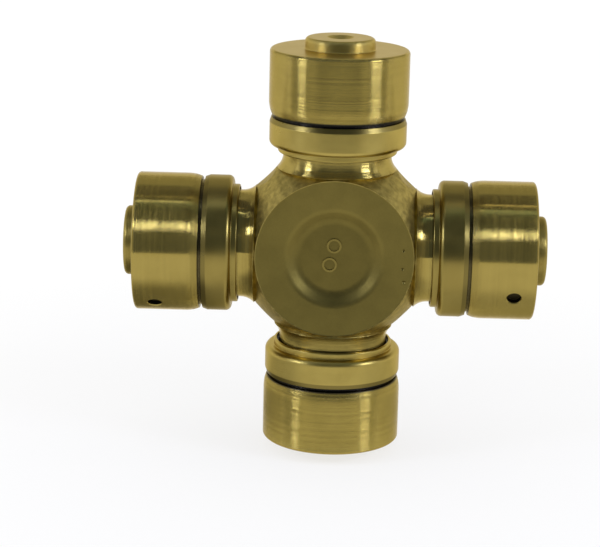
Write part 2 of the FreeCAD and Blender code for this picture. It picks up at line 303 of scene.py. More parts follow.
@dataclass(frozen=True)
class GroundSteel(Steel):
    """Cylindrically ground steel of the cups, with faced ends. Painted light on the upright faced ends;
    painted shade on the level faced ends, the taper, the groove and the dowel hole. Lengths in metres.
    """

    name: str = "ground_steel"
    level: bool = False
    roughness: float = 0.12
    lines: LineFinish = LineFinish()
    edge: float = 0.1 * MM
    skin_radius: float = 28.2 * MM
    hole_zone: tuple[float, float] = (63.0 * MM, 80.0 * MM)
    faced_from: float = 81.7 * MM
    faced_roughness: float = 0.2
    taper_roughness: float = 0.14
    # Painted shade on the taper: it is drawn closer to the darker steel.
    taper_shade: float = 0.8
    # Faced end colours: painted light on the upright cups, painted shade on the level cups.
    face: Colour = (0.52, 0.4, 0.115)
    level_face_shade: Colour = (0.33, 0.253, 0.068)
    taper_zone: tuple[float, float] = (57.6 * MM, 58.6 * MM)
    # Where the painted shade in the groove lies, and how far it spills onto the upright cups.
    groove_zone: tuple[float, float] = (53.8 * MM, 55.4 * MM)
    groove_shade_spill: float = 0.8 * MM
    # Painted shade in the dowel hole.
    hole_shade: Colour = (0.07, 0.055, 0.025)
    # Painted shade in the groove: dark on the upright cups, lighter on the level cups.
    groove_shade: Colour = (0.035, 0.032, 0.026)
    level_groove_shade: Colour = (0.13, 0.105, 0.045)

    def build(self) -> bpy.types.Material:
        """Material for a piece whose axis is X if level, or else Z."""
        material = bpy.data.materials.new(self.name)
        tree = ShaderTree(material)
        vector, x, y, z = tree.place()
        along, across = (x, z) if self.level else (z, x)
        axis = (1.0, 0.0, 0.0) if self.level else (0.0, 0.0, 1.0)
        grain = tree.noise(vector, 120.0, 4.0)
        bands = tree.noise(vector, 500.0, 3.0, (1, 0.02, 0.02) if self.level else (0.02, 0.02, 1))
        worn = (grain * 0.6 + bands * 0.4).ramp(0.3, 0.7)
        # Painted shade in the dowel hole, which is also rougher.
        sunk = tree.length(across, y).ramp(self.skin_radius - self.edge, self.skin_radius, 1.0, 0.0)
        station = abs(along)
        low, high = self.hole_zone
        sunk = sunk * station.ramp(low, low + self.edge) * station.ramp(high - self.edge, high, 1.0, 0.0)
        faced = station.ramp(self.faced_from, self.faced_from + 2.0 * self.edge)
        # Painted shade on the taper, which is also rougher.
        tapered = station.ramp(*self.taper_zone, 1.0, 0.0)
        # Painted shade in the groove between cup and can, spilling further on the upright cups.
        low, high = self.groove_zone
        spill = self.edge if self.level else self.groove_shade_spill
        groove = station.ramp(low, low + self.edge) * station.ramp(high, high + spill, 1.0, 0.0)
        steel = tree.blend(worn * (1.0 - tapered * self.taper_shade), self.shade, self.colour)
        # Painted light on the upright faced ends, painted shade on the level ones.
        steel = tree.blend(faced, steel, self.level_face_shade if self.level else self.face)
        steel = tree.blend(sunk, steel, self.hole_shade)
        rough = worn * 0.04 + sunk * 0.4 + faced * self.faced_roughness + tapered * self.taper_roughness
        tree.surface({
            "Base Color": tree.blend(groove, steel, self.level_groove_shade if self.level else self.groove_shade),
            "Metallic": 1.0,
            "Roughness": rough + (self.roughness - 0.02),
            "Normal": self.lines.normal(tree, along, axis),
            "Specular Tint": (*self.rim_tint, 1.0),
        })
        return material


@dataclass(frozen=True)
class SheetSteel(Steel):
    """Drawn sheet steel: a soft, slightly uneven shine. The upright cans are drawn lighter as painted light,
    the level cans darker as painted shade, and the taper by the open edge darker as painted shade.
    """

    name: str = "can_steel"
    level: bool = False
    roughness: float = 0.3
    # Painted shade on the level cans and painted light on the upright cans.
    level_shade_tone: float = 0.84
    upright_light_tone: float = 1.22
    # Painted shade on the taper by the open edge.
    mouth_zone: tuple[float, float] = (51.9 * MM, 52.3 * MM)
    mouth_shade: Colour = (0.21, 0.162, 0.046)
    lines: LineFinish = LineFinish(spread=0.24)
    level_lines: LineFinish = LineFinish(spread=0.1)

    def build(self) -> bpy.types.Material:
        """Material for a seal can whose axis is X if level, or else Z."""
        material = bpy.data.materials.new(self.name)
        tree = ShaderTree(material)
        vector, x, _, z = tree.place()
        clouds = tree.noise(vector, 90.0, 5.0)
        lines = self.level_lines if self.level else self.lines
        # Painted shade on the level cans, painted light on the upright cans.
        tone = self.level_shade_tone if self.level else self.upright_light_tone
        shade, colour = (tuple(tone * part for part in steel) for steel in (self.shade, self.colour))
        axis = (1.0, 0.0, 0.0) if self.level else (0.0, 0.0, 1.0)
        along = x if self.level else z
        # Painted shade on the taper by the open edge.
        mouth = abs(along).ramp(*self.mouth_zone)
        steel = tree.blend(clouds.ramp(0.35, 0.65), shade, colour)
        tree.surface({
            "Base Color": tree.blend(mouth, steel, self.mouth_shade),
            "Metallic": 1.0,
            "Roughness": clouds * 0.12 + (self.roughness - 0.06),
            "Normal": lines.normal(tree, along, axis),
            "Specular Tint": (*self.rim_tint, 1.0),
        })
        return material


@dataclass(frozen=True)
class ForgedSteel(Steel):
    """Forged skin on the body, with turned necks past the shoulders. Lengths in metres. The skin is drawn
    lighter than the steel as painted light on the shoulders, the recess in the face darker as painted shade,
    and the rings on the face with a painted highlight.
    """

    name: str = "forged_steel"
    # Forged skin drawn lighter than the steel as painted light on the shoulders; the darker colour is its
    # random mottle.
    skin: Colour = (0.48, 0.37, 0.104)
    skin_shade: Colour = (0.3, 0.233, 0.065)
    pad: Colour = (0.215, 0.168, 0.043)
    pad_radius: float = 32.3 * MM
    # Painted shade in the recess of the face.
    recess_radius: float = 17.5 * MM
    recess_shade: float = 0.88
    ring_radius: float = 3.0 * MM
    ring_width: float = 0.8 * MM
    ring_places: tuple[tuple[float, float], ...] = ((-0.2 * MM, 4.7 * MM), (-1.9 * MM, -3.2 * MM))
    machined_from: float = 33.0 * MM
    edge: float = 0.1 * MM
    coarse_grains: float = 420.0
    fine_grains: float = 1300.0
    cloud_grains: float = 140.0
    pad_smoothness: float = 0.82
    # Painted highlight on the rings of the face.
    ring_highlight: float = 0.4
    lines: LineFinish = LineFinish(spread=0.45)

    def _ring_highlight_mask(self, tree: ShaderTree, x: Value, z: Value) -> Value:
        """Mask of the painted highlights on the rings in the middle of the face, alike on the front and the
        back.
        """
        mask = None
        middle = self.ring_radius - self.ring_width / 2.0
        for place_x, place_z in self.ring_places:
            off = abs(tree.length(x - place_x, z - place_z) - middle)
            ring = off.ramp(self.ring_width * 0.4, self.ring_width * 0.7, 1.0, 0.0)
            mask = ring if mask is None else mask.larger(ring)
        return mask

    def build(self) -> bpy.types.Material:
        """Material of the cross."""
        material = bpy.data.materials.new(self.name)
        tree = ShaderTree(material)
        vector, x, _, z = tree.place()
        reach = abs(x).larger(abs(z))
        machined = reach.ramp(self.machined_from - self.edge, self.machined_from + self.edge)
        level = (abs(x) - abs(z)).ramp(-self.edge, self.edge)
        axis = tree.node("ShaderNodeCombineXYZ", {}, {"X": level, "Z": 1.0 - level})
        turned = self.lines.normal(tree, reach, axis.outputs[0])
        radius = tree.length(x, z)
        flat = radius.ramp(self.pad_radius - 4.0 * self.edge, self.pad_radius, 1.0, 0.0)
        coarse = tree.noise(vector, self.coarse_grains, 5.0)
        fine = tree.noise(vector, self.fine_grains, 4.0)
        height = (coarse * 0.65 + fine * 0.35) * (1.0 - flat * self.pad_smoothness) * (1.0 - machined)
        bump = tree.node("ShaderNodeBump", {}, {"Height": height, "Strength": 0.6, "Distance": 0.5 * MM})
        normal = tree.node("ShaderNodeMix", {"data_type": "VECTOR"},
                           {0: machined, 4: bump.outputs[0], 5: turned})
        # Painted light on the forged shoulders, mottled at random.
        skin = tree.blend(coarse.ramp(0.3, 0.7), self.skin_shade, self.skin)
        clouds = tree.noise(vector, self.cloud_grains, 4.0).ramp(0.3, 0.7)
        # Painted shade in the recess, times a random tone.
        sunk = radius.ramp(self.recess_radius - 2.0 * MM, self.recess_radius, self.recess_shade, 1.0)
        tone = sunk * (clouds * 0.1 + fine * 0.22 + 0.84)
        grey = tree.node("ShaderNodeCombineXYZ", {}, {"X": tone, "Y": tone, "Z": tone})
        pad = tree.node("ShaderNodeMix", {"data_type": "RGBA", "blend_type": "MULTIPLY"},
                        {0: 1.0, 6: (*self.pad, 1.0), 7: grey.outputs[0]})
        # Painted highlight on the rings, with a lower roughness.
        highlighted_rings = self._ring_highlight_mask(tree, x, z)
        face = tree.blend(highlighted_rings * self.ring_highlight, pad.outputs[2], self.colour)
        tree.surface({
            "Base Color": tree.blend(machined, tree.blend(flat, skin, face), self.colour),
            "Metallic": 1.0,
            "Roughness": machined * -0.34 + (fine * 0.1 + 0.38 + flat * 0.05 - highlighted_rings * 0.12),
            "Normal": normal.outputs[1],
            "Specular Tint": (*self.rim_tint, 1.0),
        })
        return material


@dataclass(frozen=True)
class PolishedSteel:
    """Hardened bearing steel, finely polished."""

    name: str = "bearing_steel"
    colour: Colour = (0.56, 0.54, 0.5)

    def build(self) -> bpy.types.Material:
        """Material of the needles."""
        material = bpy.data.materials.new(self.name)
        tree = ShaderTree(material)
        clouds = tree.noise(tree.place()[0], 400.0)
        tree.surface({
            "Base Color": (*self.colour, 1.0),
            "Metallic": 1.0,
            "Roughness": clouds * 0.08 + 0.08,
        })
        return material


@dataclass(frozen=True)
class Moulded:
    """Matt moulded rubber or plastic."""

    name: str
    colour: Colour
    shade: Colour
    roughness: float = 0.5

    def build(self) -> bpy.types.Material:
        """Material of a moulded piece."""
        material = bpy.data.materials.new(self.name)
        tree = ShaderTree(material)
        vector = tree.place()[0]
        grain = tree.noise(vector, 1500.0, 4.0)
        bump = tree.node("ShaderNodeBump", {}, {"Height": grain, "Strength": 0.3, "Distance": 0.05 * MM})
        tree.surface({
            "Base Color": tree.blend(grain, self.shade, self.colour),
            "Roughness": grain * 0.1 + (self.roughness - 0.05),
            "Normal": bump.outputs[0],
        })
        return material


def outline(corners: Sequence[Corner], step: float = 7.5) -> list[Vector]:
    """Points of an open profile with rounded corners.

    Args:
        corners: (radius, station, round) in millimetres, from one end of the profile to the other.
        step: Most that a round turns between two points, in degrees.

    Returns:
        Points (radius, 0, station) in metres. Beside each round stands one more point, which keeps
        the flat stretch next to it flat when it is shaded.
    """
    guard = 0.15
    points: list[Vector] = []
    for index, (radius, station, fillet) in enumerate(corners):
        here = Vector((radius, 0.0, station))
        if fillet == 0.0:
            points.append(here)
            continue
        before = Vector((corners[index - 1][0], 0.0, corners[index - 1][1])) - here
        after = Vector((corners[index + 1][0], 0.0, corners[index + 1][1])) - here
        half = before.angle(after) / 2.0
        reach = fillet / math.tan(half)
        centre = here + (before.normalized() + after.normalized()).normalized() * (fillet / math.sin(half))
        start = here + before.normalized() * reach
        end = here + after.normalized() * reach
        turned = math.pi - 2.0 * half
        count = max(2, math.ceil(math.degrees(turned) / step), math.ceil(turned * fillet / 0.6))
        if before.length > reach + 2.0 * guard:
            points.append(start + before.normalized() * guard)
        spoke, last = start - centre, end - centre
        points += [centre + fillet * spoke.slerp(last, turn / count) for turn in range(count + 1)]
        if after.length > reach + 2.0 * guard:
            points.append(end + after.normalized() * guard)
    return [point * MM for point in points]


def profile_mesh(name: str, points: Sequence[Vector]) -> bpy.types.Object:
    """Wire object whose vertices are a profile's points, in order."""
    mesh = bpy.data.meshes.new(name)
    mesh.from_pydata(points, [(i, i + 1) for i in range(len(points) - 1)], [])
    wire = bpy.data.objects.new(name, mesh)
    bpy.context.scene.collection.objects.link(wire)
    return wire


class GeometryTree:
    """Geometry Nodes tree with named inputs, applied to objects and baked to plain meshes."""

    def __init__(self, name: str, inputs: dict[str, str]) -> None:
        """Start a tree.

        Args:
            name: Name of the tree.
            inputs: Socket type of each named input after the geometry.
        """
        self.tree = bpy.data.node_groups.new(name, "GeometryNodeTree")
        interface = self.tree.interface
        interface.new_socket("Geometry", in_out="INPUT", socket_type="NodeSocketGeometry")
        self.inputs = {
            key: interface.new_socket(key, in_out="INPUT", socket_type=kind).identifier
            for key, kind in inputs.items()
        }
        interface.new_socket("Geometry", in_out="OUTPUT", socket_type="NodeSocketGeometry")
        self.given = self.tree.nodes.new("NodeGroupInput").outputs

    def node(self, kind: str, settings: Settings | None = None, sockets: Sockets | None = None) -> Any:
        """Add a node, as ShaderTree.node does.

        Args:
            kind: Type name of the node.
            settings: Properties of the node.
            sockets: Values, or sockets to link, by the input's name or number.

        Returns:
            The new node.
        """
        node = self.tree.nodes.new(kind)
        for name, setting in (settings or {}).items():
            setattr(node, name, setting)
        for name, value in (sockets or {}).items():
            if isinstance(value, bpy.types.NodeSocket):
                self.tree.links.new(value, node.inputs[name])
            else:
                node.inputs[name].default_value = value
        return node

    def finish(self, geometry: bpy.types.NodeSocket) -> None:
        """End the tree: real geometry, smooth faces and the given material."""
        real = self.node("GeometryNodeRealizeInstances", {}, {"Geometry": geometry})
        smooth = self.node("GeometryNodeSetShadeSmooth", {},
                           {"Geometry": real.outputs[0], "Shade Smooth": True})
        dressed = self.node("GeometryNodeSetMaterial", {},
                            {"Geometry": smooth.outputs[0], "Material": self.given["Material"]})
        self.node("NodeGroupOutput", {}, {"Geometry": dressed.outputs[0]})

    def bake(self, source: bpy.types.Object, name: str, **values: Any) -> bpy.types.Mesh:
        """Run the tree on a source object and keep the result as a mesh.

        Args:
            source: Object whose geometry goes in. It is removed afterwards.
            name: Name of the new mesh.
            **values: Input values by name.

        Returns:
            The plain mesh.
        """
        modifier = source.modifiers.new(self.tree.name, "NODES")
        modifier.node_group = self.tree
        for key, value in values.items():
            modifier[self.inputs[key]] = value
        graph = bpy.context.evaluated_depsgraph_get()
        mesh = bpy.data.meshes.new_from_object(source.evaluated_get(graph))
        mesh.name = name
        source.modifiers.clear()
        bpy.data.objects.remove(source)
        return mesh


class Lathe(GeometryTree):
    """Tree that turns a profile about Z into a closed skin."""

    def __init__(self) -> None:
        """Build the tree: a grid whose rows take the profile's points, wrapped round the axis."""
        super().__init__("lathe", {"Segments": "NodeSocketInt", "Material": "NodeSocketMaterial"})
        segments = self.given["Segments"]
        count = self.node("GeometryNodeAttributeDomainSize", {}, {"Geometry": self.given["Geometry"]})
        columns = self.node("ShaderNodeMath", {"operation": "ADD"}, {0: segments, 1: 1.0})
        grid = self.node("GeometryNodeMeshGrid", {},
                         {"Vertices X": count.outputs["Point Count"], "Vertices Y": columns.outputs[0]})
        index = self.node("GeometryNodeInputIndex").outputs[0]
        share = self.node("ShaderNodeMath", {"operation": "DIVIDE"}, {0: index, 1: columns.outputs[0]})
        nudged = self.node("ShaderNodeMath", {"operation": "ADD"}, {0: share.outputs[0], 1: 0.5e-4})
        row = self.node("ShaderNodeMath", {"operation": "FLOOR"}, {0: nudged.outputs[0]})
        first = self.node("ShaderNodeMath", {"operation": "MULTIPLY"},
                          {0: row.outputs[0], 1: columns.outputs[0]})
        column = self.node("ShaderNodeMath", {"operation": "SUBTRACT"}, {0: index, 1: first.outputs[0]})
        part = self.node("ShaderNodeMath", {"operation": "DIVIDE"}, {0: column.outputs[0], 1: segments})
        angle = self.node("ShaderNodeMath", {"operation": "MULTIPLY"}, {0: part.outputs[0], 1: math.tau})
        place = self.node("GeometryNodeInputPosition").outputs[0]
        sample = self.node("GeometryNodeSampleIndex", {"data_type": "FLOAT_VECTOR"},
                           {"Geometry": self.given["Geometry"], "Value": place, "Index": row.outputs[0]})
        turned = self.node("ShaderNodeVectorRotate", {"rotation_type": "Z_AXIS"},
                           {"Vector": sample.outputs[0], "Angle": angle.outputs[0]})
        wrapped = self.node("GeometryNodeSetPosition", {},
                            {"Geometry": grid.outputs["Mesh"], "Position": turned.outputs[0]})
        closed = self.node("GeometryNodeMergeByDistance", {},
                           {"Geometry": wrapped.outputs[0], "Distance": 0.001 * MM})
        self.finish(closed.outputs[0])

    def turn(
        self, name: str, corners: Sequence[Corner], segments: int, material: bpy.types.Material
    ) -> bpy.types.Mesh:
        """Turn a profile.

        Args:
            name: Name of the mesh.
            corners: Corners of the profile, as outline takes them. A closed ring repeats its first.
            segments: Number of faces round the axis.
            material: Finish of the whole piece.

        Returns:
            The turned mesh about Z.
        """
        wire = profile_mesh(name + "_profile", outline(corners))
        mesh = self.bake(wire, name, Segments=segments, Material=material)
        point_outwards(mesh)
        return mesh


class NeedleRing(GeometryTree):
    """Tree that sets copies of one needle round the axis."""

    def __init__(self) -> None:
        """Build the tree: one instance at each of the given number of turns."""
        super().__init__("needle_ring", {"Count": "NodeSocketInt", "Material": "NodeSocketMaterial"})
        points = self.node("GeometryNodePoints", {}, {"Count": self.given["Count"]})
        index = self.node("GeometryNodeInputIndex").outputs[0]
        part = self.node("ShaderNodeMath", {"operation": "DIVIDE"}, {0: index, 1: self.given["Count"]})
        angle = self.node("ShaderNodeMath", {"operation": "MULTIPLY"}, {0: part.outputs[0], 1: math.tau})
        turn = self.node("ShaderNodeCombineXYZ", {}, {"Z": angle.outputs[0]})
        ring = self.node("GeometryNodeInstanceOnPoints", {}, {
            "Points": points.outputs[0],
            "Instance": self.given["Geometry"],
            "Rotation": turn.outputs[0],
        })
        self.finish(ring.outputs[0])


def point_outwards(mesh: bpy.types.Mesh) -> None:
    """Turn every face of a closed mesh outwards."""
    shape = bmesh.new()
    shape.from_mesh(mesh)
    bmesh.ops.recalc_face_normals(shape, faces=shape.faces)
    shape.to_mesh(mesh)
    shape.free()


def crease(mesh: bpy.types.Mesh, angle: float = 24.0) -> None:
    """Shade a mesh smoothly, apart from the edges that turn by more than the given degrees."""
    shape = bmesh.new()
    shape.from_mesh(mesh)
    for face in shape.faces:
        face.smooth = True
    for edge in shape.edges:
        edge.smooth = edge.calc_face_angle(0.0) < math.radians(angle)
    shape.to_mesh(mesh)
    shape.free()


def add_piece(mesh: bpy.types.Mesh, name: str, node: str, body: str) -> bpy.types.Object:
    """Put a finished mesh in the scene in place of a node.

    Args:
        mesh: Mesh in its place in the frame.
        name: Name of the new piece.
        node: Node that it stands for.
        body: Body that it rides on.

    Returns:
        The new object.
    """
    piece = bpy.data.objects.new(name, mesh)
    bpy.context.scene.collection.objects.link(piece)
    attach(piece, body)
    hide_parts(node)
    LOG.info("%s: %d faces on body %s", name, len(mesh.polygons), body)
    return piece


def cut(mesh: bpy.types.Mesh, tool: bpy.types.Mesh) -> bpy.types.Mesh:
    """Cut one closed mesh out of another.

    Args:
        mesh: Mesh that is cut.
        tool: Mesh that is taken away.

    Returns:
        What is left, as a new mesh.
    """
    blank = bpy.data.objects.new("blank", mesh)
    cutter = bpy.data.objects.new("cutter", tool)
    for piece in (blank, cutter):
        bpy.context.scene.collection.objects.link(piece)
    modifier = blank.modifiers.new("cut", "BOOLEAN")
    modifier.operation = "DIFFERENCE"
    modifier.solver = "EXACT"
    modifier.object = cutter
    graph = bpy.context.evaluated_depsgraph_get()
    result = bpy.data.meshes.new_from_object(blank.evaluated_get(graph))
    for piece in (blank, cutter):
        bpy.data.objects.remove(piece)
    return result


# Turn of each cup's dowel hole about the cup's own axis, in degrees
DOWEL_TURN = {Arm.TOP: 62.0, Arm.BOTTOM: 118.0, Arm.LEFT: -140.0, Arm.RIGHT: -60.1}


@dataclass
class BearingCup:
    """Ground cup with a boss on its end and a blind dowel hole in its side. Sizes in millimetres."""

    arm: Arm
    radius: float = 28.5
    end: float = 82.0
    rim_round: float = 1.35
    boss_radius: float = 14.3
    boss_height: float = 4.7
    boss_round: float = 1.7
    boss_foot: float = 0.6
    dish_radius: float = 5.6
    dish_floor: float = 2.0
    dish_depth: float = 2.0
    dish_floor_round: float = 0.5
    dish_lip_round: float = 1.2
    land_start: float = 58.3
    land_round: float = 14.0
    taper_drop: float = 1.2
    spigot_start: float = 55.3
    spigot_drop: float = 1.5
    groove_lip_round: float = 0.3
    groove_end: float = 54.0
    groove_depth: float = 1.1
    mouth: float = 47.5
    mouth_chamfer: float = 0.4
    raceway: float = 24.05
    floor: float = 77.0
    dowel_radius: float = 2.75
    dowel_depth: float = 2.5
    dowel_from_end: float = 9.0
    dowel_rim: float = 0.25
    dowel_corner_round: float = 0.3
    segments: int = 224
    dowel_segments: int = 48

    def corners(self) -> list[Corner]:
        """Profile from the dish in the boss round to the middle of the cup's floor."""
        top = self.end + self.boss_height
        spigot = self.radius - self.spigot_drop
        return [
            (0.0, top - self.dish_depth, 0.0),
            (self.dish_floor, top - self.dish_depth, self.dish_floor_round),
            (self.dish_radius, top, self.dish_lip_round),
            (self.boss_radius, top, self.boss_round),
            (self.boss_radius, self.end, self.boss_foot),
            (self.radius, self.end, self.rim_round),
            (self.radius, self.land_start, self.land_round),
            (self.radius - self.taper_drop, self.spigot_start, self.groove_lip_round),
            (spigot - self.groove_depth, self.spigot_start, 0.0),
            (spigot - self.groove_depth, self.groove_end, 0.0),
            (spigot, self.groove_end, 0.0),
            (spigot, self.mouth, 0.0),
            (self.raceway + self.mouth_chamfer, self.mouth, 0.0),
            (self.raceway, self.mouth + self.mouth_chamfer, 0.0),
            (self.raceway, self.floor, 0.0),
            (0.0, self.floor, 0.0),
        ]

    def dowel_tool(self, lathe: Lathe, material: bpy.types.Material) -> bpy.types.Mesh:
        """Drill for the dowel hole, with a small countersink where it leaves the cup."""
        wall = self.radius
        tool = lathe.turn("dowel_drill", [
            (0.0, wall - self.dowel_depth, 0.0),
            (self.dowel_radius, wall - self.dowel_depth, self.dowel_corner_round),
            (self.dowel_radius, wall - 2.0 * self.dowel_rim, 0.0),
            (self.dowel_radius + 2.0 * self.dowel_rim, wall, 0.0),
            (self.dowel_radius + 2.0 * self.dowel_rim, wall + 1.0, 0.0),
            (0.0, wall + 1.0, 0.0),
        ], self.dowel_segments, material)
        turn = DOWEL_TURN[self.arm]
        sideways = Matrix.Rotation(math.radians(90.0), 4, "Y")
        round_axis = Matrix.Rotation(math.radians(turn), 4, "Z")
        lift = Matrix.Translation((0.0, 0.0, (self.end - self.dowel_from_end) * MM))
        tool.transform(lift @ round_axis @ sideways)
        return tool

    def build(self, lathe: Lathe, material: bpy.types.Material) -> bpy.types.Object:
        """Turn the cup, drill its dowel hole and lay it on its arm.

        Args:
            lathe: Tree that turns the profile.
            material: Ground finish for this arm's axis.

        Returns:
            The cup.
        """
        mesh = lathe.turn("cup", self.corners(), self.segments, material)
        mesh = cut(mesh, self.dowel_tool(lathe, material))
        mesh.transform(self.arm.turn)
        crease(mesh)
        name = "bearing_cup_" + self.arm.label
        return add_piece(mesh, "ground_" + name, name, self.arm.label + "_cup")


@dataclass
class SealCan:
    """Drawn sheet ring round the cup's spigot, with a collar round the neck. Sizes in millimetres."""

    arm: Arm
    inner: float = 27.0
    sheet: float = 1.05
    end: float = 54.0
    taper_length: float = 2.0
    taper_drop: float = 0.7
    floor: float = 42.3
    shoulder_round: float = 2.2
    collar_radius: float = 24.4
    collar_wall: float = 1.0
    collar_end: float = 39.7
    collar_round: float = 0.6
    corner_round: float = 0.3
    edge_round: float = 0.2
    segments: int = 224

    def corners(self) -> list[Corner]:
        """Closed profile, from the open edge down the outside and back up the inside."""
        outer = self.inner + self.sheet
        bore = self.collar_radius - self.collar_wall
        start = (self.inner, self.end, 0.0)
        return [
            start,
            (outer - self.taper_drop, self.end, self.edge_round),
            (outer, self.end - self.taper_length, self.corner_round),
            (outer, self.floor, self.shoulder_round),
            (self.collar_radius, self.floor, self.corner_round),
            (self.collar_radius, self.collar_end, self.collar_round),
            (bore, self.collar_end, 0.0),
            (bore, self.floor + self.sheet, 0.0),
            (self.inner, self.floor + self.sheet, 0.0),
            start,
        ]

    def build(self, lathe: Lathe, material: bpy.types.Material) -> bpy.types.Object:
        """Turn the can and lay it on its arm."""
        mesh = lathe.turn("can", self.corners(), self.segments, material)
        mesh.transform(self.arm.turn)
        crease(mesh)
        name = "seal_can_" + self.arm.label
        return add_piece(mesh, "drawn_" + name, name, self.arm.label + "_cup")


@dataclass
class Seal:
    """Rubber ring in the can, with a lip by the neck and a dust lip in the collar. Sizes in millimetres."""

    arm: Arm
    outer: float = 26.95
    station: float = 43.35
    height: float = 3.15
    lip: float = 22.5
    waist: float = 23.9
    dust: float = 23.35
    dust_end: float = 40.75
    segments: int = 160

    def corners(self) -> list[Corner]:
        """Closed profile of the ring."""
        start = (self.outer, self.station + self.height, 0.0)
        return [
            start,
            (self.outer, self.station, 0.0),
            (self.dust, self.station, 0.0),
            (self.dust, self.dust_end, 0.0),
            (self.lip, self.dust_end, 0.2),
            (self.lip, self.station, 0.0),
            (self.waist, self.station + self.height / 2.0, 0.4),
            (self.lip, self.station + self.height * 5.0 / 6.0, 0.2),
            (self.waist, self.station + self.height, 0.0),
            start,
        ]

    def build(self, lathe: Lathe, material: bpy.types.Material) -> bpy.types.Object:
        """Turn the seal and lay it on its arm."""
        mesh = lathe.turn("seal", self.corners(), self.segments, material)
        mesh.transform(self.arm.turn)
        crease(mesh)
        name = "seal_" + self.arm.label
        return add_piece(mesh, "rubber_" + name, name, self.arm.label + "_cup")


@dataclass
class Needles:
    """Full set of needles round the trunnion. Sizes in millimetres."""

    arm: Arm
    count: int = 34
    radius: float = 2.0
    pitch_radius: float = 22.0
    start: float = 51.4
    length: float = 25.4
    end_round: float = 0.35
    segments: int = 14

    def build(self, lathe: Lathe, ring: NeedleRing, material: bpy.types.Material) -> bpy.types.Object:
        """Turn one needle with rounded ends, set copies round the axis and lay them on their arm."""
        top = self.start + self.length
        needle = lathe.turn("needle", [
            (0.0, self.start, 0.0),
            (self.radius - self.end_round, self.start, 0.0),
            (self.radius, self.start + self.end_round, 0.0),
            (self.radius, top - self.end_round, 0.0),
            (self.radius - self.end_round, top, 0.0),
            (0.0, top, 0.0),
        ], self.segments, material)
        needle.transform(Matrix.Translation((self.pitch_radius * MM, 0.0, 0.0)))
        source = bpy.data.objects.new("needle", needle)
        bpy.context.scene.collection.objects.link(source)
        mesh = ring.bake(source, "needles", Count=self.count, Material=material)
        mesh.transform(self.arm.turn)
        crease(mesh, 50.0)
        name = "needle_rollers_" + self.arm.label
        return add_piece(mesh, "polished_" + name, name, self.arm.label + "_needles")


class CrossSkin:
    """Forged and machined cross."""

    def build(self, node: bpy.types.Object, material: bpy.types.Material) -> bpy.types.Object:
        """Weld a copy of the cross and shade it by the size of its faces.

        Args:
            node: Cross as it came in the frame.
            material: Forged finish.

        Returns:
            The finished cross.
        """
        mesh = node.data.copy()
        shape = bmesh.new()
        shape.from_mesh(mesh)
        bmesh.ops.remove_doubles(shape, verts=shape.verts, dist=0.001 * MM)
        shape.to_mesh(mesh)
        shape.free()
        mesh.materials.clear()
        mesh.materials.append(material)
        crease(mesh, 30.0)
        blank = bpy.data.objects.new("blank", mesh)
        bpy.context.scene.collection.objects.link(blank)
        weights = blank.modifiers.new("shading", "WEIGHTED_NORMAL")
        weights.mode = "FACE_AREA_WITH_ANGLE"
        weights.keep_sharp = True
        graph = bpy.context.evaluated_depsgraph_get()
        shaded = bpy.data.meshes.new_from_object(blank.evaluated_get(graph))
        bpy.data.objects.remove(blank)
        return add_piece(shaded, "forged_cross", "cross", "cross")


# Faces along a curved sheet
SHEET_STEPS = 16


@dataclass
class Panel:
    """Curved card or light box that only shows in reflections. Lengths in metres, angles in degrees.

    Azimuth is measured from straight in front of the object, elevation from its level. The fades
    are the shares of the sheet over which it dies away at its first and last side, foot and head.
    """

    name: str
    radiance: Colour
    azimuth: tuple[float, float]
    height: tuple[float, float]
    distance: float
    fades: Fades = (0.0, 0.0, 0.0, 0.0)

    def build(self, lights: bool) -> bpy.types.Object:
        """Make the upright panel on a circle round the object.

        Args:
            lights: True for a light box, False for a card that only shows in reflections.

        Returns:
            The panel.
        """
        steps = SHEET_STEPS
        rows = []
        for step in range(steps + 1):
            share = step / steps
            turn = math.radians(self.azimuth[0] + share * (self.azimuth[1] - self.azimuth[0]))
            x, y = self.distance * math.sin(turn), -self.distance * math.cos(turn)
            rows.append([(x, y, self.height[0]), (x, y, self.height[1])])
        return glowing_sheet(self.name, rows, self.radiance, self.fades, lights)


@dataclass
class Canopy:
    """Card or light box bent about X over the object. Lengths in metres, angles in degrees."""

    name: str
    radiance: Colour
    elevation: tuple[float, float]
    left: float
    right: float
    distance: float
    fades: Fades = (0.0, 0.0, 0.0, 0.0)

    def build(self, lights: bool) -> bpy.types.Object:
        """Make the bent panel, as Panel.build does."""
        steps = SHEET_STEPS
        rows = []
        for step in range(steps + 1):
            turn = math.radians(self.elevation[0] + step / steps * (self.elevation[1] - self.elevation[0]))
            y, z = -self.distance * math.cos(turn), self.distance * math.sin(turn)
            rows.append([(self.left, y, z), (self.right, y, z)])
        return glowing_sheet(self.name, rows, self.radiance, self.fades, lights)


def faded(tree: ShaderTree, fades: Fades) -> Value | None:
    """Share of a sheet's glow that is left towards its edges.

    Args:
        tree: Tree of the sheet's material.
        fades: Shares over which it dies away at the first and last row, foot and head.

    Returns:
        The share, or None if the sheet has no soft edge.
    """
    where = tree.node("ShaderNodeUVMap", {"uv_map": "place"}).outputs[0]
    parts = tree.node("ShaderNodeSeparateXYZ", {}, {"Vector": where}).outputs
    held = None
    for axis, first, last in (("X", fades[0], fades[1]), ("Y", fades[2], fades[3])):
        value = Value(tree, parts[axis])
        if first > 0.0:
            start = value.ramp(0.0, first)
            held = start if held is None else held * start
        if last > 0.0:
            end = value.ramp(1.0 - last, 1.0, 1.0, 0.0)
            held = end if held is None else held * end
    return held


